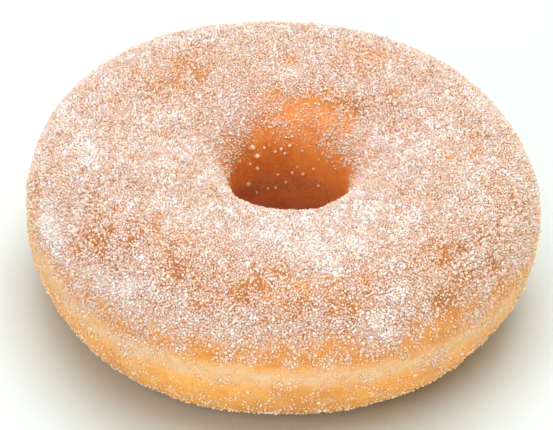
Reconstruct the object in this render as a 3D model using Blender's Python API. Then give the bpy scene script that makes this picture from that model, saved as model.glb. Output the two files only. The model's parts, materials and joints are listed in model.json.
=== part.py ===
"""A sugar doughnut: one ring of raised dough, fried on both sides. Metres, +Z up.

The origin is on the surface that the ring rests on, under its middle. Its front is at -Y.
"""

import math

import bmesh
import bpy

# Driving dimensions of the ring
OUTER_RADIUS = 0.0450
HOLE_RADIUS = 0.0102
CREST_RADIUS = 0.0272
HEIGHT = 0.0330
WIDEST_HEIGHT = 0.0163
NARROWEST_HEIGHT = 0.0150
BASE_HALF_WIDTH = 0.0035

# How full each quarter of the section is: 2 is an ellipse, and more is squarer
OUTER_TOP_FULLNESS = 2.18
INNER_TOP_FULLNESS = 2.25
INNER_BASE_FULLNESS = 2.00
OUTER_BASE_FULLNESS = 2.02

# The shallow waist that rose last, where the two fried halves meet
WAIST_HEIGHT = 0.0157
WAIST_DEPTH = 0.00035
WAIST_SPREAD = 0.0014

# How the hand-shaped ring leaves a true circle: waves round it, size of each, and where it peaks
OUTLINE_WAVES = (
    (2, 0.00055, math.radians(62)),
    (3, 0.00028, math.radians(60)),
    (4, 0.00040, math.radians(227)),
    (6, 0.00028, math.radians(9)),
)
HOLE_WAVES = (
    (1, 0.00085, math.radians(15)),
    (2, 0.00040, math.radians(176)),
    (3, 0.00040, math.radians(64)),
)

# Low swells of the crust: waves round the ring, waves round the section, size, and start
SWELLS = (
    (3, 1, 0.00010, math.radians(20)),
    (5, -1, 0.00009, math.radians(75)),
    (7, 2, 0.00006, math.radians(140)),
)
SWELL_FADE_HEIGHT = 0.004

# How finely the ring is faceted
STEPS_ROUND_RING = 84
STEPS_PER_QUARTER = 9

# The fried crust
CRUST_COLOUR = (0.74, 0.40, 0.14, 1.0)
CRUST_ROUGHNESS = 0.65


def clear_scene():
    for old in list(bpy.data.objects):
        bpy.data.objects.remove(old, do_unlink=True)


def quarter(centre, first, second, fullness):
    """Points of a quarter of the section, from centre + first towards centre + second, which it leaves out."""
    power = 2 / fullness
    points = []
    for step in range(STEPS_PER_QUARTER):
        turn = math.pi / 2 * step / STEPS_PER_QUARTER
        along_first = math.cos(turn) ** power
        along_second = math.sin(turn) ** power
        points.append(
            (
                centre[0] + first[0] * along_first + second[0] * along_second,
                centre[1] + first[1] * along_first + second[1] * along_second,
            )
        )
    return points


def waisted(radius, height):
    """The radius of an outer point, drawn in where the halves meet."""
    off = (height - WAIST_HEIGHT) / WAIST_SPREAD
    return radius - WAIST_DEPTH * math.exp(-off * off)


def section():
    """The closed section as (radius, height), from the widest point over the crest, down the hole and back."""
    base_inner = CREST_RADIUS - BASE_HALF_WIDTH
    base_outer = CREST_RADIUS + BASE_HALF_WIDTH
    outer_top = quarter(
        (CREST_RADIUS, WIDEST_HEIGHT),
        (OUTER_RADIUS - CREST_RADIUS, 0),
        (0, HEIGHT - WIDEST_HEIGHT),
        OUTER_TOP_FULLNESS,
    )
    inner_top = quarter(
        (CREST_RADIUS, NARROWEST_HEIGHT),
        (0, HEIGHT - NARROWEST_HEIGHT),
        (HOLE_RADIUS - CREST_RADIUS, 0),
        INNER_TOP_FULLNESS,
    )
    inner_base = quarter(
        (base_inner, NARROWEST_HEIGHT),
        (HOLE_RADIUS - base_inner, 0),
        (0, -NARROWEST_HEIGHT),
        INNER_BASE_FULLNESS,
    )
    resting = [(base_inner, 0), (CREST_RADIUS, 0)]
    outer_base = quarter(
        (base_outer, WIDEST_HEIGHT),
        (0, -WIDEST_HEIGHT),
        (OUTER_RADIUS - base_outer, 0),
        OUTER_BASE_FULLNESS,
    )
    outer_top = [(waisted(radius, height), height) for radius, height in outer_top]
    outer_base = [(waisted(radius, height), height) for radius, height in outer_base]
    return outer_top + inner_top + inner_base + resting + outer_base


def turned_ring():
    """The section turned once round Z."""
    bm = bmesh.new()
    corners = [bm.verts.new((radius, 0, height)) for radius, height in section()]
    edges = [bm.edges.new((corner, corners[i - 1])) for i, corner in enumerate(corners)]
    bmesh.ops.spin(
        bm,
        geom=corners + edges,
        cent=(0, 0, 0),
        axis=(0, 0, 1),
        angle=math.tau,
        steps=STEPS_ROUND_RING,
        use_merge=True,
    )
    bmesh.ops.recalc_face_normals(bm, faces=bm.faces)
    return bm


def wave_sum(waves, angle):
    return sum(size * math.cos(count * angle - peak) for count, size, peak in waves)


def shape_by_hand(bm):
    """Takes the turned ring off a true circle, outside and in the hole."""
    for vert in bm.verts:
        radius = math.hypot(vert.co.x, vert.co.y)
        angle = math.atan2(vert.co.y, vert.co.x)
        outward = (radius - HOLE_RADIUS) / (OUTER_RADIUS - HOLE_RADIUS)
        grown = (
            radius
            + wave_sum(OUTLINE_WAVES, angle) * outward
            + wave_sum(HOLE_WAVES, angle) * (1 - outward)
        )
        vert.co.x = grown * math.cos(angle)
        vert.co.y = grown * math.sin(angle)


def swell_crust(bm):
    """Raises and sinks the crust a little, and leaves the base flat and the hole plain."""
    bm.normal_update()
    middle_height = HEIGHT / 2
    moves = []
    for vert in bm.verts:
        angle = math.atan2(vert.co.y, vert.co.x)
        radius = math.hypot(vert.co.x, vert.co.y)
        roll = math.atan2(vert.co.z - middle_height, radius - CREST_RADIUS)
        rise = sum(
            size * math.sin(round_ring * angle + round_section * roll + start)
            for round_ring, round_section, size, start in SWELLS
        )
        above_base = min(vert.co.z / SWELL_FADE_HEIGHT, 1)
        outside_hole = min((radius - HOLE_RADIUS) / (CREST_RADIUS - HOLE_RADIUS), 1)
        fade = above_base * max(outside_hole, 0)
        moves.append((vert, vert.normal * rise * fade))
    for vert, move in moves:
        vert.co += move


def centre_over_origin(bm):
    """Puts the middle of the ring's box on the Z axis."""
    for axis in (0, 1):
        places = [vert.co[axis] for vert in bm.verts]
        middle = (min(places) + max(places)) / 2
        for vert in bm.verts:
            vert.co[axis] -= middle


def crust_material():
    material = bpy.data.materials.new("fried_crust")
    material.use_nodes = True
    shader = material.node_tree.nodes["Principled BSDF"]
    shader.inputs["Base Color"].default_value = CRUST_COLOUR
    shader.inputs["Roughness"].default_value = CRUST_ROUGHNESS
    shader.inputs["Metallic"].default_value = 0.0
    return material


def make_doughnut():
    bm = turned_ring()
    shape_by_hand(bm)
    swell_crust(bm)
    centre_over_origin(bm)
    mesh = bpy.data.meshes.new("doughnut")
    bm.to_mesh(mesh)
    bm.free()
    mesh.shade_smooth()
    mesh.materials.append(crust_material())
    doughnut = bpy.data.objects.new("doughnut", mesh)
    bpy.context.scene.collection.objects.link(doughnut)
    return doughnut


clear_scene()
make_doughnut()
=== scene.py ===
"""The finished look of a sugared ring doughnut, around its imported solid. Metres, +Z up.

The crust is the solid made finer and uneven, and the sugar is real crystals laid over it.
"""

import json
import math

import bpy
import numpy as np
from mathutils import Matrix, Vector, noise

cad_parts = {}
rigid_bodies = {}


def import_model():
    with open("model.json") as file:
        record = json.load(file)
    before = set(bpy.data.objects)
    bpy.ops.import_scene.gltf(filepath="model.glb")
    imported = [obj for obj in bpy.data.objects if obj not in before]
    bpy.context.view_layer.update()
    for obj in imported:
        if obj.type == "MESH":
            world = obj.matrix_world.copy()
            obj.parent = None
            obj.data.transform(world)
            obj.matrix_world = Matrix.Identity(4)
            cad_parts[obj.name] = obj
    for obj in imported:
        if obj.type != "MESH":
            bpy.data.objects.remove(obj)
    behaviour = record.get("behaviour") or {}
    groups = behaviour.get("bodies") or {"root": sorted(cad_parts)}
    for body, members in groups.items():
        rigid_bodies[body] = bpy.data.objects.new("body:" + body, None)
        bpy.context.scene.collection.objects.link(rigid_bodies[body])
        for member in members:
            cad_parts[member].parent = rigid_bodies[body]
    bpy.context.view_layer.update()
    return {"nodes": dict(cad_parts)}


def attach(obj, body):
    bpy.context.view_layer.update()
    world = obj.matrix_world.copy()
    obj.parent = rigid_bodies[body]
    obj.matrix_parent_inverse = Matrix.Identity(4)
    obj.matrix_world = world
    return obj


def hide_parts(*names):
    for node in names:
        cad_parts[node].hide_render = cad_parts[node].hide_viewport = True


SEED = 41
MM = 0.001

# The ring, as its solid is
CREST_RADIUS = 27.2 * MM
MIDDLE_HEIGHT = 16.5 * MM
SECTION_RADIUS = 16.5 * MM
HOLE_WALL_RADIUS = 15.0 * MM
RIM_RADIUS = 45.0 * MM

# The bands round the side, which all tip up a little towards the front left
WAIST_HEIGHT = 14.6 * MM
BAND_RISE = 1.3 * MM
BAND_RISE_ANGLE = math.radians(245)
BAND_DIRECTION = (
    -BAND_RISE / RIM_RADIUS * math.cos(BAND_RISE_ANGLE),
    -BAND_RISE / RIM_RADIUS * math.sin(BAND_RISE_ANGLE),
    1.0,
)

# The crease in the wall of the hole, which tips up to the right
CREASE_HEIGHT = 13.6 * MM
CREASE_RISE = 1.4 * MM
CREASE_DEPTH = 0.35 * MM
CREASE_HALF_WIDTH = 2.4 * MM

# Where the sugar ends outside, and over the hole, where it reaches lower at the left and right
SUGAR_LINE = 21.0 * MM
SUGAR_LINE_SOFTNESS = 1.9 * MM
HOLE_SUGAR_LINE = 23.3 * MM
HOLE_SUGAR_DIP = 2.3 * MM
HOLE_SUGAR_SOFTNESS = 2.4 * MM
SUGAR_LINE_WANDER = 2.1 * MM

# How much sugar lies on each band, from 0 for bare to 1 for a full layer. The strip above the waist
# and the part below it have theirs on top of the waist's.
TOP_COVER = 0.94
STRIP_COVER = 0.30
WAIST_COVER = 0.27
BELOW_COVER = 0.09
HOLE_COVER = 0.08
MOST_COVER = 1.6

# How uneven the sugar is: the size of its lumps, how strong they are, and where their noise is read
TOP_LUMPS = (
    (6.0 * MM, 0.20, 3.0),
    (2.4 * MM, 0.30, 9.0),
    (1.1 * MM, 0.35, 37.0),
)
SIDE_LUMPS = (2.2 * MM, 0.35, 31.0)

# Patches by angle round the ring and roll over its section, in degrees, their reach in mm, and
# their strength. Roll is 0 at the widest rim, 90 on the crest and 180 on the wall of the hole.
THICK_PATCHES = (
    (268, 94, 9, 0.30),
    (288, 88, 6, 0.30),
    (283, 70, 3, 0.30),
    (204, 22, 4, 0.55),
    (211, 26, 3, 0.35),
    (229, 27, 3, 0.35),
    (236, 28, 3, 0.30),
    (263, 29, 3, 0.25),
    (294, 27, 3, 0.30),
    (301, 46, 3, 0.30),
    (315, 74, 3, 0.30),
    (8, 103, 4, 0.30),
    (91, 118, 3, 0.35),
    (181, 101, 6, 0.20),
    (190, 64, 5, 0.20),
    (309, -4, 3, 0.40),
    (322, 4, 3, 0.30),
    (283, 6, 2, 0.30),
    (238, -2, 3, 0.28),
    (222, 2, 4, 0.30),
)
THIN_PATCHES = (
    (216, 41, 5, 0.32),
    (221, 52, 4, 0.20),
    (231, 63, 4, 0.20),
    (243, 49, 5, 0.20),
    (256, 50, 5, 0.20),
    (265, 55, 4, 0.20),
    (270, 50, 13, 0.10),
    (274, 49, 5, 0.28),
    (287, 50, 5, 0.24),
    (304, 55, 5, 0.15),
    (317, 60, 4, 0.22),
    (319, 34, 5, 0.28),
    (332, 26, 4, 0.25),
    (350, 42, 4, 0.18),
    (126, 83, 3, 0.28),
    (134, 94, 4, 0.42),
    (151, 96, 5, 0.32),
    (93, 105, 2, 0.35),
    (64, 88, 5, 0.15),
    (71, 143, 6, 0.36),
    (91, 132, 5, 0.30),
    (58, 130, 5, 0.30),
    (122, 155, 3, 0.45),
    (104, 158, 3, 0.25),
    (284, 17, 4, 0.15),
    (304, 16, 4, 0.30),
    (313, 21, 4, 0.34),
    (255, 10, 2, 0.30),
    (31, 114, 5, 0.20),
    (191, 24, 3, 0.30),
    (203, 79, 4, 0.16),
    (214, 93, 4, 0.12),
)

# The grains that stand out on the bare wall of the hole: angle in degrees, height and size in mm
LOOSE_GRAINS = (
    (122, 22.4, 0.90),
    (118, 20.6, 0.80),
    (118, 18.0, 0.76),
    (126, 19.4, 0.62),
    (111, 21.8, 0.58),
    (101, 20.9, 0.50),
    (96, 21.5, 0.60),
    (88, 22.2, 0.70),
    (92, 20.7, 0.52),
    (84, 16.9, 0.46),
    (80, 18.3, 0.40),
    (73, 17.0, 0.64),
    (64, 18.6, 0.44),
    (58, 15.4, 0.48),
    (97, 16.2, 0.44),
    (89, 14.4, 0.50),
    (128, 15.3, 0.78),
    (105, 12.8, 0.46),
    (98, 12.8, 0.46),
    (116, 12.4, 0.52),
)

# The bumps of fried dough: name, size and height
DOUGH_BUMPS = (
    ("dough_swells", 7.0 * MM, 0.55 * MM),
    ("dough_bumps", 2.6 * MM, 0.30 * MM),
    ("dough_pits", 1.1 * MM, 0.14 * MM),
)

# The layers of sugar: spacing, grain size, how high it lies, and the cover from which it starts
SUGAR_LAYERS = (
    (0.38 * MM, 0.23 * MM, 0.0, 0.18),
    (0.39 * MM, 0.38 * MM, 0.03 * MM, 0.10),
    (0.46 * MM, 0.38 * MM, 0.24 * MM, 1.02),
)
CANDIDATES_PER_SPACING = 6.0
SPARSE_GRAIN_SHARE = 0.66
GRAIN_SIZE_SPREAD = 0.20
GRAIN_TIP = 0.28
SMALLEST_GRAIN = 0.15 * MM
LARGEST_GRAIN = 0.58 * MM
SUNK_SHARE = 0.26
GRAIN_STRETCH = 0.12
MOST_GRAINS = 80000

# The crystal of each kind of sugar, finest first: proportions, taper and slant of its top, and twist
CRYSTALS = (
    ("dust", (1.1, 0.9, 0.45), 0.8, 0.10, 0.3),
    ("fine", (1.0, 0.95, 0.6), 0.8, -0.08, 0.2),
    ("even", (1.0, 0.9, 0.75), 0.75, 0.12, -0.2),
    ("plump", (1.1, 0.85, 0.8), 0.7, -0.10, 0.4),
    ("coarse", (1.0, 0.95, 0.75), 0.65, 0.15, -0.3),
)

# How white the grains are, from 0 for cream to 1 for white: more where heaped, less on the side
HEAPED_WHITENESS = 0.78
SIDE_WHITENESS_LOSS = 0.35
USUAL_WHITENESS = 0.17
WHITENESS_SPREAD = 0.17

# Each colour of the dough, with the darker one that mottles it and its features to the metre
GOLDEN_DOUGH = ((0.84, 0.40, 0.075, 1), (0.78, 0.29, 0.038, 1), 130.0)
ORANGE_DOUGH = ((0.70, 0.285, 0.046, 1), (0.58, 0.185, 0.026, 1), 140.0)
BROWNED_DOUGH = ((0.45, 0.150, 0.029, 1), (0.31, 0.088, 0.015, 1), 160.0)
PALE_WAIST = ((0.72, 0.56, 0.38, 1), (0.60, 0.36, 0.17, 1), 480.0)
# The wall of the hole: fried crust, painted a deeper orange than the golden dough and redder lower down
# as painted light bounced inside the hole
UPPER_WALL_AND_BOUNCE = ((0.79, 0.245, 0.041, 1), (0.63, 0.160, 0.024, 1), 150.0)
LOWER_WALL_AND_BOUNCE = ((0.88, 0.260, 0.034, 1), (0.72, 0.155, 0.016, 1), 150.0)
MOTTLE_STRENGTH = 0.9
TOASTED_PATCH = (0.62, 0.235, 0.042, 1)
# Painted shade along the crease in the hole's wall: a deep brown that the crust's colour darkens
# towards there
CREASE_PAINTED_SHADE = (0.34, 0.07, 0.012, 1)

# The film of fine sugar on the crust, from nearly bare to heaped, and over the hole
FILM_BARE = (0.86, 0.39, 0.15, 1)
FILM_THIN = (0.80, 0.51, 0.29, 1)
FILM_FULL = (0.70, 0.575, 0.55, 1)
FILM_HEAPED = (0.91, 0.87, 0.91, 1)
FILM_OVER_HOLE = (0.82, 0.41, 0.16, 1)
FILM_STRENGTH = 0.72

# The crystals, from thin to heaped, and what shines through a clear one
SUGAR_CREAM = (0.98, 0.70, 0.45, 1)
SUGAR_PALE = (0.88, 0.69, 0.58, 1)
SUGAR_PINK = (0.765, 0.635, 0.600, 1)
SUGAR_WHITE = (0.96, 0.90, 0.905, 1)
SUGAR_CLEAR = (0.74, 0.40, 0.19, 1)

PAPER_COLOURS = ((0.765, 0.83, 0.825, 1), (0.78, 0.845, 0.84, 1))
FLOOR_RADIUS = 4.0

# The lights: width in m, watts, azimuth and elevation in degrees, distance in m, and colour.
# Azimuth 0 is in front and 180 behind.
ROOM_LIGHTS = (
    ("overhead", 1.4, 12.6, 180, 84, 1.1, (1.0, 1.0, 1.0)),
    ("behind", 0.9, 6.6, 180, 58, 1.2, (1.0, 1.0, 1.0)),
    ("front_left", 0.9, 4.8, 325, 34, 1.3, (1.0, 1.0, 1.0)),
    ("front_right", 1.0, 1.5, 48, 12, 1.3, (0.94, 1.0, 0.90)),
)
PIECE_LIGHTS = (
    ("face_light", 1.0, 4.4, 355, 22, 1.3, (1.0, 0.97, 0.94)),
    ("right_light", 1.0, 8.8, 58, 10, 1.3, (1.0, 0.88, 0.66)),
    ("left_light", 1.0, 5.0, 308, 15, 1.3, (1.0, 0.98, 0.97)),
)
SKY_COLOUR = (0.90, 1.0, 0.72, 1)
SKY_STRENGTH = 0.14

# The camera
CAMERA_DISTANCE = 0.700
CAMERA_ELEVATION = math.radians(38.7)
CAMERA_ROLL = math.radians(4.2)
AIM_HEIGHT = 15.0 * MM
AIM_RIGHT = -1.07 * MM
AIM_UP = 0.53 * MM
LENS = 259.0
FILM_WIDTH = 36.0

# How far the crust's map stays from the edges of its two strips
MAP_MARGIN = 0.01


def select_only(thing):
    for other in bpy.context.view_layer.objects:
        other.select_set(False)
    thing.select_set(True)
    bpy.context.view_layer.objects.active = thing


def apply_modifier(thing, kind, name, **settings):
    """Adds a modifier, sets it and applies it."""
    modifier = thing.modifiers.new(name, kind)
    for setting, value in settings.items():
        setattr(modifier, setting, value)
    select_only(thing)
    bpy.ops.object.modifier_apply(modifier=modifier.name)


def read_points(mesh):
    points = np.empty(len(mesh.vertices) * 3)
    mesh.vertices.foreach_get("co", points)
    return points.reshape(-1, 3)


def write_points(mesh, points):
    mesh.vertices.foreach_set("co", points.ravel())
    mesh.update()


def smooth_step(value, low, high):
    share = np.clip((value - low) / (high - low), 0, 1)
    return share * share * (3 - 2 * share)


def lumps(points, feature, shift):
    """Smooth noise from -1 to 1 at each point, with features of that size."""
    away = Vector((shift, shift * 0.7, -shift))
    return np.array([noise.noise(Vector(point) / feature + away) for point in points])


def ring_places(points):
    """Angle round the ring, roll over its section, and radius, for each point."""
    radius = np.hypot(points[:, 0], points[:, 1])
    angle = np.arctan2(points[:, 1], points[:, 0])
    roll = np.arctan2(points[:, 2] - MIDDLE_HEIGHT, radius - CREST_RADIUS)
    return angle, roll, radius


def patch_sum(patches, angle, roll, radius):
    """The patches' strengths at each point, each fading over its reach."""
    total = np.zeros(len(angle))
    for patch_angle, patch_roll, reach, strength in patches:
        turn = angle - math.radians(patch_angle)
        turn = np.arctan2(np.sin(turn), np.cos(turn))
        tip = roll - math.radians(patch_roll)
        tip = np.arctan2(np.sin(tip), np.cos(tip))
        away = np.hypot(turn * radius, tip * SECTION_RADIUS) / (reach * MM)
        total += strength * np.exp(-away * away)
    return total


def add_node(tree, kind, inputs=None, **settings):
    """Adds a node. inputs gives the value or the socket for each input, by its name or number."""
    made = tree.nodes.new(kind)
    for setting, value in settings.items():
        setattr(made, setting, value)
    for name, value in (inputs or {}).items():
        if isinstance(value, bpy.types.NodeSocket):
            tree.links.new(value, made.inputs[name])
        else:
            made.inputs[name].default_value = value
    return made


# The crust


def fine_ring(ring):
    """A finer copy of the ring's solid."""
    crust = bpy.data.objects.new("crust", ring.data.copy())
    bpy.context.scene.collection.objects.link(crust)
    crust.data.materials.clear()
    select_only(crust)
    bpy.ops.mesh.customdata_custom_splitnormals_clear()
    bpy.ops.object.mode_set(mode="EDIT")
    bpy.ops.mesh.select_all(action="SELECT")
    bpy.ops.mesh.remove_doubles(threshold=0.00001)
    bpy.ops.mesh.tris_convert_to_quads()
    bpy.ops.object.mode_set(mode="OBJECT")
    apply_modifier(crust, "SUBSURF", "finer", levels=2, render_levels=2)
    return crust


def press_hole_crease(crust):
    """A shallow crease round the wall of the hole, where the two fried halves meet."""
    points = read_points(crust.data)
    angle, roll, radius = ring_places(points)
    off = (points[:, 2] - CREASE_HEIGHT - CREASE_RISE * np.cos(angle)) / CREASE_HALF_WIDTH
    depth = CREASE_DEPTH * np.exp(-off * off) * smooth_step(radius, HOLE_WALL_RADIUS, 11 * MM)
    outward = points[:, :2] / radius[:, None]
    points[:, :2] += outward * depth[:, None]
    write_points(crust.data, points)


def roughen_crust(crust):
    """Low bumps and fine pits of fried dough, none of them on the ring that it rests on."""
    heights = read_points(crust.data)[:, 2]
    above_base = "above_base"
    group = crust.vertex_groups.new(name=above_base)
    for index, share in enumerate(smooth_step(heights, 0.5 * MM, 4 * MM)):
        group.add([index], float(share), "REPLACE")
    for name, feature, height in DOUGH_BUMPS:
        cloud = bpy.data.textures.new(name, "CLOUDS")
        cloud.noise_scale = feature
        cloud.noise_depth = 1
        apply_modifier(
            crust,
            "DISPLACE",
            name,
            texture=cloud,
            texture_coords="LOCAL",
            strength=height,
            mid_level=0.5,
            vertex_group=above_base,
        )
    crust.vertex_groups.clear()
    points = read_points(crust.data)
    points[:, 2] = np.maximum(points[:, 2], 0)
    write_points(crust.data, points)


def sugar_cover(points):
    """How thick the sugar lies at each point: 0 is bare, 1 is a full layer, and more is heaped."""
    angle, roll, radius = ring_places(points)
    top = TOP_COVER
    for size, strength, shift in TOP_LUMPS:
        top = top + strength * lumps(points, size, shift)
    patches = patch_sum(THICK_PATCHES, angle, roll, radius)
    patches -= patch_sum(THIN_PATCHES, angle, roll, radius)
    wander = SUGAR_LINE_WANDER * (lumps(points, 9.0 * MM, 17.0) + 0.6 * lumps(points, 3.0 * MM, 23.0))
    banded = points @ np.array(BAND_DIRECTION) + wander
    strip = STRIP_COVER * smooth_step(banded, WAIST_HEIGHT + 1.0 * MM, WAIST_HEIGHT + 3.2 * MM)
    below = BELOW_COVER * smooth_step(banded, WAIST_HEIGHT - 0.6 * MM, WAIST_HEIGHT - 2.8 * MM)
    size, strength, shift = SIDE_LUMPS
    side = WAIST_COVER + strip + below + strength * lumps(points, size, shift)
    hole_height = points[:, 2] + wander + HOLE_SUGAR_DIP * np.cos(angle) ** 2
    on_top = smooth_step(banded, SUGAR_LINE - SUGAR_LINE_SOFTNESS, SUGAR_LINE + SUGAR_LINE_SOFTNESS)
    over_hole = smooth_step(
        hole_height, HOLE_SUGAR_LINE - HOLE_SUGAR_SOFTNESS, HOLE_SUGAR_LINE + HOLE_SUGAR_SOFTNESS
    )
    in_hole = smooth_step(radius, CREST_RADIUS - 6 * MM, HOLE_WALL_RADIUS)
    outside_cover = top * on_top + side * (1 - on_top) + patches
    hole_cover = (top + patches) * over_hole + HOLE_COVER * (1 - over_hole)
    return np.clip(outside_cover * (1 - in_hole) + hole_cover * in_hole, 0, MOST_COVER)


def store_on_points(mesh, name, values):
    attribute = mesh.attributes.new(name, "FLOAT", "POINT")
    attribute.data.foreach_set("value", values.astype(np.float32))


def unwrap_ring(mesh):
    """Lays the ring out as two strips, its back half over its front half, with the roll across each."""
    points = read_points(mesh)
    angle, roll, radius = ring_places(points)
    layer = mesh.uv_layers.new(name="OFBake")
    places = np.empty((len(mesh.loops), 2))
    for face in mesh.polygons:
        corners = [mesh.loops[i].vertex_index for i in face.loop_indices]
        middle = Vector(face.center)
        middle_angle = math.atan2(middle.y, middle.x)
        middle_radius = math.hypot(middle.x, middle.y)
        middle_roll = math.atan2(middle.z - MIDDLE_HEIGHT, middle_radius - CREST_RADIUS)
        strip = 0.5 if middle_angle > 0 else 0.0
        start = 0.0 if middle_angle > 0 else -math.pi
        for loop, corner in zip(face.loop_indices, corners):
            turn = middle_angle + math.remainder(angle[corner] - middle_angle, math.tau) - start
            tip = middle_roll + math.remainder(roll[corner] - middle_roll, math.tau) + math.pi
            places[loop] = (
                MAP_MARGIN + (1 - 2 * MAP_MARGIN) * turn / math.pi,
                strip + MAP_MARGIN + (0.5 - 2 * MAP_MARGIN) * tip / math.tau,
            )
    layer.data.foreach_set("uv", np.clip(places, 0, 1).ravel())


def make_crust(ring):
    crust = fine_ring(ring)
    press_hole_crease(crust)
    roughen_crust(crust)
    crust.data.shade_smooth()
    store_on_points(crust.data, "sugar_cover", sugar_cover(read_points(crust.data)))
    unwrap_ring(crust.data)
    return crust


# The sugar


def cut_crystal(name, proportions, taper, slant, twist):
    """One sugar crystal about 1 across: a block with its top face drawn in, pushed over and turned."""
    bpy.ops.mesh.primitive_cube_add(size=1, location=(0, 0, 0))
    crystal = bpy.context.view_layer.objects.active
    crystal.name = name
    bpy.ops.object.mode_set(mode="EDIT")
    bpy.ops.mesh.select_all(action="SELECT")
    bpy.ops.transform.resize(value=proportions)
    bpy.ops.mesh.select_mode(type="FACE")
    bpy.ops.mesh.select_all(action="DESELECT")
    bpy.ops.object.mode_set(mode="OBJECT")
    for face in crystal.data.polygons:
        face.select = face.normal.z > 0.9
    bpy.ops.object.mode_set(mode="EDIT")
    bpy.ops.transform.resize(value=(taper, taper, 1))
    bpy.ops.transform.translate(value=(slant, slant * 0.6, 0))
    bpy.ops.transform.rotate(value=twist, orient_axis="Z", center_override=(0, 0, 0))
    bpy.ops.object.mode_set(mode="OBJECT")
    corners = read_points(crystal.data)
    faces = np.array([face.vertices[:] for face in crystal.data.polygons])
    bpy.data.objects.remove(crystal, do_unlink=True)
    return corners, faces


def lying_turns(normals, chance):
    """Turning matrices that lay each grain on the crust, spun at random and tipped a little."""
    up = normals + chance.normal(0, GRAIN_TIP, normals.shape)
    up /= np.linalg.norm(up, axis=1, keepdims=True)
    side = np.cross(up, chance.normal(size=normals.shape))
    side /= np.linalg.norm(side, axis=1, keepdims=True)
    return np.stack([side, np.cross(up, side), up], axis=2)


def spreading_nodes(spacing, seed):
    """Geometry nodes that spread points over a mesh, none closer together than the spacing."""
    tree = bpy.data.node_groups.new("spread_sugar", "GeometryNodeTree")
    tree.interface.new_socket("Geometry", in_out="INPUT", socket_type="NodeSocketGeometry")
    tree.interface.new_socket("Geometry", in_out="OUTPUT", socket_type="NodeSocketGeometry")
    entry = tree.nodes.new("NodeGroupInput")
    spread = add_node(
        tree,
        "GeometryNodeDistributePointsOnFaces",
        {
            "Mesh": entry.outputs["Geometry"],
            "Distance Min": spacing,
            "Density Max": CANDIDATES_PER_SPACING / spacing**2,
            "Seed": seed,
        },
        distribute_method="POISSON",
    )
    marked = add_node(
        tree,
        "GeometryNodeStoreNamedAttribute",
        {
            "Geometry": spread.outputs["Points"],
            "Name": "outward",
            "Value": spread.outputs["Normal"],
        },
        data_type="FLOAT_VECTOR",
        domain="POINT",
    )
    corners = add_node(
        tree, "GeometryNodePointsToVertices", {"Points": marked.outputs["Geometry"]}
    )
    leave = tree.nodes.new("NodeGroupOutput")
    tree.links.new(corners.outputs["Mesh"], leave.inputs["Geometry"])
    return tree


def spread_places(crust, spacing, seed):
    """Points all over the crust, none closer than the spacing, with their normals and sugar covers."""
    spread = bpy.data.objects.new("spread", crust.data.copy())
    bpy.context.scene.collection.objects.link(spread)
    apply_modifier(spread, "NODES", "spread", node_group=spreading_nodes(spacing, seed))
    points = read_points(spread.data)
    normals = np.empty(points.size)
    spread.data.attributes["outward"].data.foreach_get("vector", normals)
    cover = np.empty(len(points))
    spread.data.attributes["sugar_cover"].data.foreach_get("value", cover)
    bpy.data.objects.remove(spread, do_unlink=True)
    return points, normals.reshape(-1, 3), cover


def loose_places(crust):
    """The places, outward normals, covers and sizes of the loose grains on the wall of the hole."""
    found = []
    for angle, height, size in LOOSE_GRAINS:
        turn = math.radians(angle)
        outward = Vector((math.cos(turn), math.sin(turn), 0))
        hit, place, normal, face = crust.ray_cast(Vector((0, 0, height * MM)), outward)
        if hit:
            found.append((place, normal, 0.3, size * MM))
    return [np.array(part) for part in zip(*found)]


def lay_grains(crust, chance):
    """Where each grain lies, its size, and how heaped the sugar is there."""
    laid = []
    for seed, (spacing, grain_size, lift, start) in enumerate(SUGAR_LAYERS):
        points, normals, cover = spread_places(crust, spacing, seed)
        kept = chance.random(len(points)) < cover - start
        fullness = smooth_step(cover[kept], 0.15, 0.75)
        size = grain_size * (SPARSE_GRAIN_SHARE + (1 - SPARSE_GRAIN_SHARE) * fullness)
        size = size * np.exp(chance.normal(0, GRAIN_SIZE_SPREAD, len(size)))
        size = np.clip(size, SMALLEST_GRAIN, LARGEST_GRAIN)
        laid.append((points[kept] + normals[kept] * lift, normals[kept], cover[kept], size))
    laid.append(loose_places(crust))
    points, normals, cover, size = (np.concatenate(part) for part in zip(*laid))
    points = points + normals * (size * (0.5 - SUNK_SHARE))[:, None]
    kept = np.flatnonzero(points[:, 2] > LARGEST_GRAIN)
    if len(kept) > MOST_GRAINS:
        kept = np.sort(chance.choice(kept, MOST_GRAINS, replace=False))
    return points[kept], normals[kept], size[kept], cover[kept]


def join_grains(name, crystal, points, normals, size, tint, clear, chance):
    """One mesh of every grain of a kind, each a turned copy of its crystal."""
    corners, faces = crystal
    count = len(points)
    turns = lying_turns(normals, chance)
    stretch = np.exp(chance.normal(0, GRAIN_STRETCH, (count, 1, 3)))
    shaped = corners[None] * stretch * size[:, None, None]
    placed = np.einsum("nij,nkj->nki", turns, shaped) + points[:, None]
    every_face = faces[None] + (np.arange(count) * len(corners))[:, None, None]
    mesh = bpy.data.meshes.new(name)
    mesh.vertices.add(count * len(corners))
    mesh.vertices.foreach_set("co", placed.ravel())
    mesh.loops.add(every_face.size)
    mesh.loops.foreach_set("vertex_index", every_face.ravel().astype(np.int32))
    mesh.polygons.add(count * len(faces))
    mesh.polygons.foreach_set("loop_start", np.arange(0, every_face.size, 4, dtype=np.int32))
    mesh.update(calc_edges=True)
    store_on_points(mesh, "tint", np.repeat(tint, len(corners)))
    store_on_points(mesh, "clear", np.repeat(clear, len(corners)))
    unwrap_grains(mesh, count)
    grains = bpy.data.objects.new(name, mesh)
    bpy.context.scene.collection.objects.link(grains)
    return grains


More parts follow.
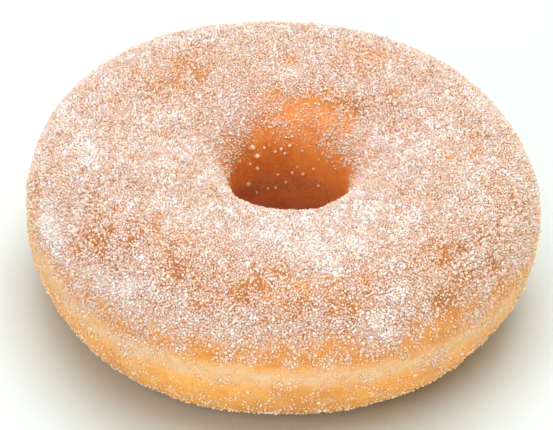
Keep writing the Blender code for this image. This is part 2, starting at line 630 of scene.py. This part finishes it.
def unwrap_grains(mesh, count):
    """Gives each grain a small square of the map, and each of its six faces a share of it."""
    across = math.ceil(math.sqrt(count))
    grain = np.arange(count)
    square = np.stack([grain % across, grain // across], axis=1) / across
    share = np.array([(column / 3, row / 2) for row in range(2) for column in range(3)])
    corner = np.array([(0.1, 0.1), (0.9, 0.1), (0.9, 0.9), (0.1, 0.9)]) / (3, 2)
    places = square[:, None, None] + (share[None, :, None] + corner[None, None]) / across
    layer = mesh.uv_layers.new(name="OFBake")
    layer.data.foreach_set("uv", places.ravel())


def make_sugar(crust, chance):
    """All the sugar, as five kinds from the finest to the coarsest, each with its own crystal."""
    kinds = [("sugar_" + name, cut_crystal(name + "_crystal", *shape)) for name, *shape in CRYSTALS]
    points, normals, size, cover = lay_grains(crust, chance)
    height = points[:, 2]
    radius = np.hypot(points[:, 0], points[:, 1])
    on_side = smooth_step(height, 21 * MM, 17 * MM)
    in_hole = smooth_step(radius, 20 * MM, HOLE_WALL_RADIUS) * smooth_step(height, 27 * MM, 21 * MM)
    whiteness = smooth_step(cover, 0.3, 1.4) * HEAPED_WHITENESS - SIDE_WHITENESS_LOSS * on_side
    spread = chance.normal(USUAL_WHITENESS, WHITENESS_SPREAD, len(points))
    tint = np.clip(whiteness + spread, 0, 1) * (1 - in_hole)
    clear = chance.random(len(points)) ** 3
    pieces = []
    by_size = np.array_split(np.argsort(size, kind="stable"), len(kinds))
    for (name, crystal), chosen in zip(kinds, by_size):
        pieces.append(
            join_grains(
                name,
                crystal,
                points[chosen],
                normals[chosen],
                size[chosen],
                tint[chosen],
                clear[chosen],
                chance,
            )
        )
    return pieces


# Materials


def maths(tree, operation, first, second=0.0, third=0.0):
    """The result of a Math node."""
    made = add_node(tree, "ShaderNodeMath", {0: first, 1: second, 2: third}, operation=operation)
    return made.outputs[0]


def soft_step(tree, value, low, high, start=0.0, end=1.0):
    """start below low, end above high, and a smooth change between them."""
    made = add_node(
        tree,
        "ShaderNodeMapRange",
        {"Value": value, "From Min": low, "From Max": high, "To Min": start, "To Max": end},
        interpolation_type="SMOOTHSTEP",
    )
    return made.outputs["Result"]


def mix_colours(tree, share, first, second, blend_type="MIX"):
    made = add_node(tree, "ShaderNodeMix", data_type="RGBA", blend_type=blend_type)
    for socket, value in ((made.inputs[0], share), (made.inputs[6], first), (made.inputs[7], second)):
        if isinstance(value, bpy.types.NodeSocket):
            tree.links.new(value, socket)
        else:
            socket.default_value = value
    return made.outputs[2]


def noise_value(tree, place, features, detail=3.0, roughness=0.55, distortion=0.0):
    """Noise from about 0.25 to 0.75, with that many features to the metre."""
    made = add_node(
        tree,
        "ShaderNodeTexNoise",
        {
            "Vector": place,
            "Scale": features,
            "Detail": detail,
            "Roughness": roughness,
            "Distortion": distortion,
        },
    )
    return made.outputs["Fac"]


def new_group(name, inputs, outputs):
    """An empty shader node group with these sockets, as (tree, its inputs, its output node)."""
    tree = bpy.data.node_groups.new(name, "ShaderNodeTree")
    for label, kind, value in inputs:
        socket = tree.interface.new_socket(label, in_out="INPUT", socket_type=kind)
        if value is not None:
            socket.default_value = value
    for label, kind in outputs:
        tree.interface.new_socket(label, in_out="OUTPUT", socket_type=kind)
    entry = tree.nodes.new("NodeGroupInput")
    leave = tree.nodes.new("NodeGroupOutput")
    return tree, entry.outputs, leave.inputs


def mottle_group():
    """Broad and fine patches of light and dark over a colour."""
    tree, given, made = new_group(
        "mottle",
        (
            ("Place", "NodeSocketVector", None),
            ("Color", "NodeSocketColor", (0.5, 0.5, 0.5, 1)),
            ("Dark Color", "NodeSocketColor", (0.2, 0.2, 0.2, 1)),
            ("Features", "NodeSocketFloat", 150.0),
            ("Strength", "NodeSocketFloat", 0.5),
        ),
        (("Color", "NodeSocketColor"), ("Patches", "NodeSocketFloat")),
    )
    broad = noise_value(tree, given["Place"], given["Features"], detail=2.0)
    fine_features = maths(tree, "MULTIPLY", given["Features"], 5.0)
    fine = noise_value(tree, given["Place"], fine_features, detail=3.0)
    both = maths(tree, "MULTIPLY_ADD", fine, 0.4, maths(tree, "MULTIPLY", broad, 0.6))
    patches = soft_step(tree, both, 0.38, 0.64)
    share = maths(tree, "MULTIPLY", patches, given["Strength"])
    tree.links.new(mix_colours(tree, share, given["Color"], given["Dark Color"]), made["Color"])
    tree.links.new(patches, made["Patches"])
    return tree


def film_group():
    """Where fine sugar clings to the crust: specks where the cover is thin, nearly all where full."""
    tree, given, made = new_group(
        "sugar_film",
        (("Place", "NodeSocketVector", None), ("Cover", "NodeSocketFloat", 0.5)),
        (("Film", "NodeSocketFloat"),),
    )
    fine = noise_value(tree, given["Place"], 3000.0, detail=2.0, roughness=0.6)
    edge = maths(tree, "MULTIPLY_ADD", maths(tree, "SQRT", given["Cover"]), -0.37, 0.78)
    tree.links.new(soft_step(tree, fine, edge, maths(tree, "ADD", edge, 0.09)), made["Film"])
    return tree


def new_material(name):
    material = bpy.data.materials.new(name)
    material.use_nodes = True
    tree = material.node_tree
    shader = tree.nodes["Principled BSDF"]
    place = tree.nodes.new("ShaderNodeTexCoord").outputs["Object"]
    return material, tree, shader, place


def mottled(tree, group, place, dough):
    """The colour of that dough, mottled."""
    colour, dark_colour, features = dough
    made = add_node(
        tree,
        "ShaderNodeGroup",
        {
            "Place": place,
            "Color": colour,
            "Dark Color": dark_colour,
            "Features": features,
            "Strength": MOTTLE_STRENGTH,
        },
        node_tree=group,
    )
    return made.outputs["Color"]


def crust_material(mottle, film):
    """Golden below, pale at the waist, browner above, deep orange in the hole with painted bounce light
    that reddens lower down, painted shade along the hole's crease, and fine sugar.
    """
    material, tree, shader, place = new_material("fried_crust")
    split = add_node(tree, "ShaderNodeSeparateXYZ", {"Vector": place})
    height = split.outputs["Z"]
    radius = maths(
        tree,
        "SQRT",
        maths(
            tree,
            "MULTIPLY_ADD",
            split.outputs["X"],
            split.outputs["X"],
            maths(tree, "MULTIPLY", split.outputs["Y"], split.outputs["Y"]),
        ),
    )
    banded = add_node(
        tree, "ShaderNodeVectorMath", {0: place, 1: BAND_DIRECTION}, operation="DOT_PRODUCT"
    ).outputs["Value"]
    golden = mottled(tree, mottle, place, GOLDEN_DOUGH)
    orange = mottled(tree, mottle, place, ORANGE_DOUGH)
    browned = mottled(tree, mottle, place, BROWNED_DOUGH)
    waist = mottled(tree, mottle, place, PALE_WAIST)
    upper_wall_and_bounce = mottled(tree, mottle, place, UPPER_WALL_AND_BOUNCE)
    lower_wall_and_bounce = mottled(tree, mottle, place, LOWER_WALL_AND_BOUNCE)
    wander = noise_value(tree, place, 90.0, detail=3.0)
    lowered = maths(tree, "SUBTRACT", banded, 1.1 * MM)
    wandered = maths(tree, "MULTIPLY_ADD", wander, 2.2 * MM, lowered)
    colour = mix_colours(tree, soft_step(tree, wandered, 15.5 * MM, 18.0 * MM), golden, orange)
    colour = mix_colours(tree, soft_step(tree, wandered, 20.0 * MM, 25.0 * MM), colour, browned)
    off_waist = maths(tree, "ABSOLUTE", maths(tree, "SUBTRACT", wandered, WAIST_HEIGHT))
    on_waist = soft_step(tree, off_waist, 3.2 * MM, 0.2 * MM)
    flat_place = add_node(
        tree, "ShaderNodeVectorMath", {0: place, 1: (1.0, 1.0, 8.0)}, operation="MULTIPLY"
    ).outputs["Vector"]
    streaks = soft_step(tree, noise_value(tree, flat_place, 230.0, detail=4.0), 0.35, 0.65, 0.45, 0.95)
    colour = mix_colours(tree, maths(tree, "MULTIPLY", on_waist, streaks), colour, waist)
    toasted = soft_step(tree, noise_value(tree, place, 85.0, detail=3.0), 0.52, 0.66, end=0.65)
    colour = mix_colours(
        tree,
        maths(tree, "MULTIPLY", toasted, soft_step(tree, off_waist, 0.8 * MM, 3.5 * MM)),
        colour,
        TOASTED_PATCH,
    )
    in_hole = soft_step(tree, radius, 19.0 * MM, 13.5 * MM)
    # The hole's wall colour is crust with painted bounce light, deeper orange and redder towards the
    # bottom
    wall = mix_colours(tree, soft_step(tree, height, 12.0 * MM, 22.0 * MM), lower_wall_and_bounce, upper_wall_and_bounce)
    colour = mix_colours(tree, in_hole, colour, wall)
    # Painted shade: the colour darkens towards a deep brown along the crease in the hole's wall
    crease_line = maths(
        tree, "MULTIPLY_ADD", split.outputs["X"], CREASE_RISE / HOLE_WALL_RADIUS, CREASE_HEIGHT
    )
    off_crease = maths(tree, "ABSOLUTE", maths(tree, "SUBTRACT", height, crease_line))
    crease_shade_share = maths(tree, "MULTIPLY", soft_step(tree, off_crease, 3.2 * MM, 0.2 * MM), in_hole)
    colour = mix_colours(tree, maths(tree, "MULTIPLY", crease_shade_share, 0.30), colour, CREASE_PAINTED_SHADE)
    cover = add_node(tree, "ShaderNodeAttribute", attribute_name="sugar_cover").outputs["Fac"]
    film_cover = maths(tree, "MULTIPLY_ADD", on_waist, 0.30, maths(tree, "ADD", cover, 0.02))
    film_cover = maths(tree, "MULTIPLY_ADD", in_hole, 0.20, film_cover)
    filmed = add_node(
        tree, "ShaderNodeGroup", {"Place": place, "Cover": film_cover}, node_tree=film
    ).outputs["Film"]
    film_colour = mix_colours(tree, soft_step(tree, cover, 0.1, 0.3), FILM_BARE, FILM_THIN)
    film_colour = mix_colours(tree, soft_step(tree, cover, 0.3, 0.9), film_colour, FILM_FULL)
    film_colour = mix_colours(tree, soft_step(tree, cover, 1.1, 1.5), film_colour, FILM_HEAPED)
    near_hole = soft_step(tree, radius, 21.0 * MM, 15.5 * MM)
    over_hole = maths(tree, "MULTIPLY", near_hole, soft_step(tree, height, 29.0 * MM, 23.0 * MM))
    film_colour = mix_colours(tree, over_hole, film_colour, FILM_OVER_HOLE)
    colour = mix_colours(tree, maths(tree, "MULTIPLY", filmed, FILM_STRENGTH), colour, film_colour)
    tree.links.new(colour, shader.inputs["Base Color"])
    roughness = soft_step(tree, noise_value(tree, place, 700.0), 0.3, 0.7, start=0.42, end=0.62)
    tree.links.new(maths(tree, "MULTIPLY_ADD", filmed, 0.2, roughness), shader.inputs["Roughness"])
    grain = noise_value(tree, place, 1500.0, detail=4.0)
    relief = maths(tree, "MULTIPLY_ADD", filmed, 0.8, grain)
    bump = add_node(tree, "ShaderNodeBump", {"Strength": 0.55, "Distance": 0.12 * MM, "Height": relief})
    tree.links.new(bump.outputs["Normal"], shader.inputs["Normal"])
    return material


def sugar_material():
    """Sugar crystals, from cream where they lie thin to white where they are heaped."""
    material, tree, shader, place = new_material("sugar_crystals")
    tint = add_node(tree, "ShaderNodeAttribute", attribute_name="tint").outputs["Fac"]
    cloudy = noise_value(tree, place, 250.0, detail=2.0)
    share = maths(tree, "ADD", tint, soft_step(tree, cloudy, 0.35, 0.65, start=-0.12, end=0.12))
    colour = mix_colours(tree, soft_step(tree, share, -0.05, 0.25), SUGAR_CREAM, SUGAR_PALE)
    colour = mix_colours(tree, soft_step(tree, share, 0.1, 0.9), colour, SUGAR_PINK)
    colour = mix_colours(tree, soft_step(tree, share, 0.69, 0.95), colour, SUGAR_WHITE)
    clear = add_node(tree, "ShaderNodeAttribute", attribute_name="clear").outputs["Fac"]
    colour = mix_colours(tree, maths(tree, "MULTIPLY", clear, 0.75), colour, SUGAR_CLEAR)
    tree.links.new(colour, shader.inputs["Base Color"])
    roughness = soft_step(tree, cloudy, 0.3, 0.7, start=0.18, end=0.35)
    tree.links.new(roughness, shader.inputs["Roughness"])
    shader.inputs["Specular IOR Level"].default_value = 0.7
    shader.inputs["Subsurface Weight"].default_value = 0.7
    shader.inputs["Subsurface Radius"].default_value = (1.0, 0.45, 0.25)
    shader.inputs["Subsurface Scale"].default_value = 0.12 * MM
    return material


def floor_material():
    """White paper, faintly uneven."""
    material, tree, shader, place = new_material("white_paper")
    faint = soft_step(tree, noise_value(tree, place, 40.0), 0.3, 0.7)
    colour = mix_colours(tree, faint, *PAPER_COLOURS)
    tree.links.new(colour, shader.inputs["Base Color"])
    shader.inputs["Roughness"].default_value = 0.8
    return material


# The studio


def lay_floor():
    bpy.ops.mesh.primitive_circle_add(
        vertices=64, radius=FLOOR_RADIUS, fill_type="NGON", location=(0, 0, 0)
    )
    floor = bpy.context.view_layer.objects.active
    floor.name = "floor"
    floor.data.materials.append(floor_material())
    return floor


def hang_light(name, size, energy, azimuth, elevation, distance, colour):
    """A soft square light that looks at the doughnut."""
    lamp = bpy.data.lights.new(name, "AREA")
    lamp.shape = "SQUARE"
    lamp.size = size
    lamp.energy = energy
    lamp.color = colour
    light = bpy.data.objects.new(name, lamp)
    bpy.context.scene.collection.objects.link(light)
    turn = math.radians(azimuth)
    lift = math.radians(elevation)
    away = Vector((math.sin(turn) * math.cos(lift), -math.cos(turn) * math.cos(lift), math.sin(lift)))
    light.location = away * distance + Vector((0, 0, AIM_HEIGHT))
    light.rotation_euler = away.to_track_quat("Z", "Y").to_euler()
    return light


def light_studio(pieces):
    """Four soft lights on everything, and three from the front that light the pieces alone."""
    world = bpy.data.worlds.new("studio")
    bpy.context.scene.world = world
    world.use_nodes = True
    background = world.node_tree.nodes["Background"]
    background.inputs["Color"].default_value = SKY_COLOUR
    background.inputs["Strength"].default_value = SKY_STRENGTH
    lit = bpy.data.collections.new("pieces_in_light")
    for piece in pieces:
        lit.objects.link(piece)
    for light in ROOM_LIGHTS:
        hang_light(*light)
    for light in PIECE_LIGHTS:
        hang_light(*light).light_linking.receiver_collection = lit
    bpy.context.scene.view_settings.view_transform = "Standard"


def set_camera():
    """Looks down at the ring from the front, rolled a little, with the ring a little off the middle."""
    right = Vector((1, 0, 0))
    up = Vector((0, math.sin(CAMERA_ELEVATION), math.cos(CAMERA_ELEVATION)))
    back = Vector((0, -math.cos(CAMERA_ELEVATION), math.sin(CAMERA_ELEVATION)))
    rolled_right = right * math.cos(CAMERA_ROLL) + up * math.sin(CAMERA_ROLL)
    rolled_up = up * math.cos(CAMERA_ROLL) - right * math.sin(CAMERA_ROLL)
    data = bpy.data.cameras.new("camera")
    data.sensor_width = FILM_WIDTH
    data.lens = LENS
    data.clip_start = 0.01
    camera = bpy.data.objects.new("camera", data)
    bpy.context.scene.collection.objects.link(camera)
    aim = Vector((0, 0, AIM_HEIGHT)) + rolled_right * AIM_RIGHT + rolled_up * AIM_UP
    turned = Matrix((rolled_right, rolled_up, back)).transposed().to_4x4()
    camera.matrix_world = Matrix.Translation(aim + back * CAMERA_DISTANCE) @ turned
    bpy.context.scene.camera = camera


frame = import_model()

chance = np.random.default_rng(SEED)
ring = frame["nodes"]["doughnut"]
crust = make_crust(ring)
crust.data.materials.append(crust_material(mottle_group(), film_group()))
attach(crust, "root")
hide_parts("doughnut")

sugar = make_sugar(crust, chance)
crystals = sugar_material()
for grains in sugar:
    grains.data.materials.append(crystals)
    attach(grains, "root")

lay_floor()
light_studio([crust, *sugar])
set_camera()
